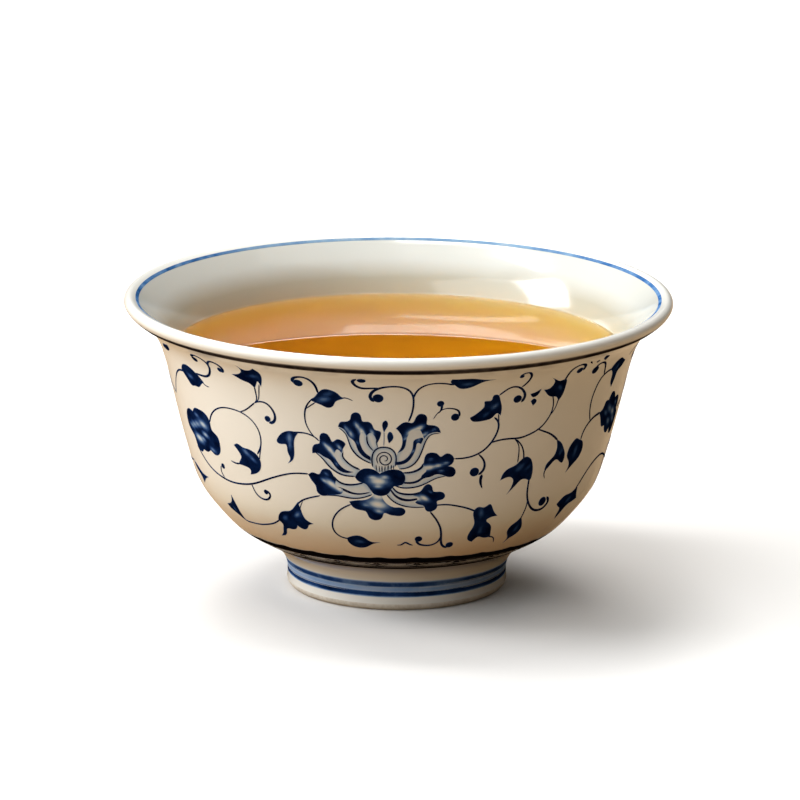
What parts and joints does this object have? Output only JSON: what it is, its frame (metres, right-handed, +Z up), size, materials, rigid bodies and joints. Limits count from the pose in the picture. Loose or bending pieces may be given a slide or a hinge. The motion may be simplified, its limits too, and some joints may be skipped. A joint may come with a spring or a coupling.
{
  "type": "teacup",
  "caption": "Handleless porcelain teacup with a flared rim and a turned foot ring, glazed and painted in cobalt blue scrollwork, filled with amber tea.",
  "frame": {"origin": "centre of the circle on which the foot ring stands", "axes": "+Z up along the bowl's axis of turning, through the middle of its mouth; +Y away from the middle of the painted front, +X to its right"},
  "size_m": [0.09, 0.09, 0.0489],
  "materials": {
    "biscuit": "matte",
    "clear_glaze": "gloss",
    "cobalt": "gloss",
    "cobalt_wash": "gloss",
    "dark_border": "gloss",
    "tea": "gloss"
  },
  "bodies": {
    "root": {"bowl_body": "biscuit", "foot_ring": "biscuit", "base_glaze": "clear_glaze", "foot_glaze_lower": "clear_glaze", "foot_line_lower": "cobalt", "foot_wash_band": "cobalt_wash", "foot_line_upper": "cobalt", "foot_glaze_upper": "clear_glaze", "border_band": "dark_border", "outer_glaze": "clear_glaze", "outer_rim_line": "dark_border", "lip_glaze": "clear_glaze", "inner_rim_line": "cobalt_wash", "inner_glaze": "clear_glaze", "tea": "tea"}
  },
  "joints": []
}
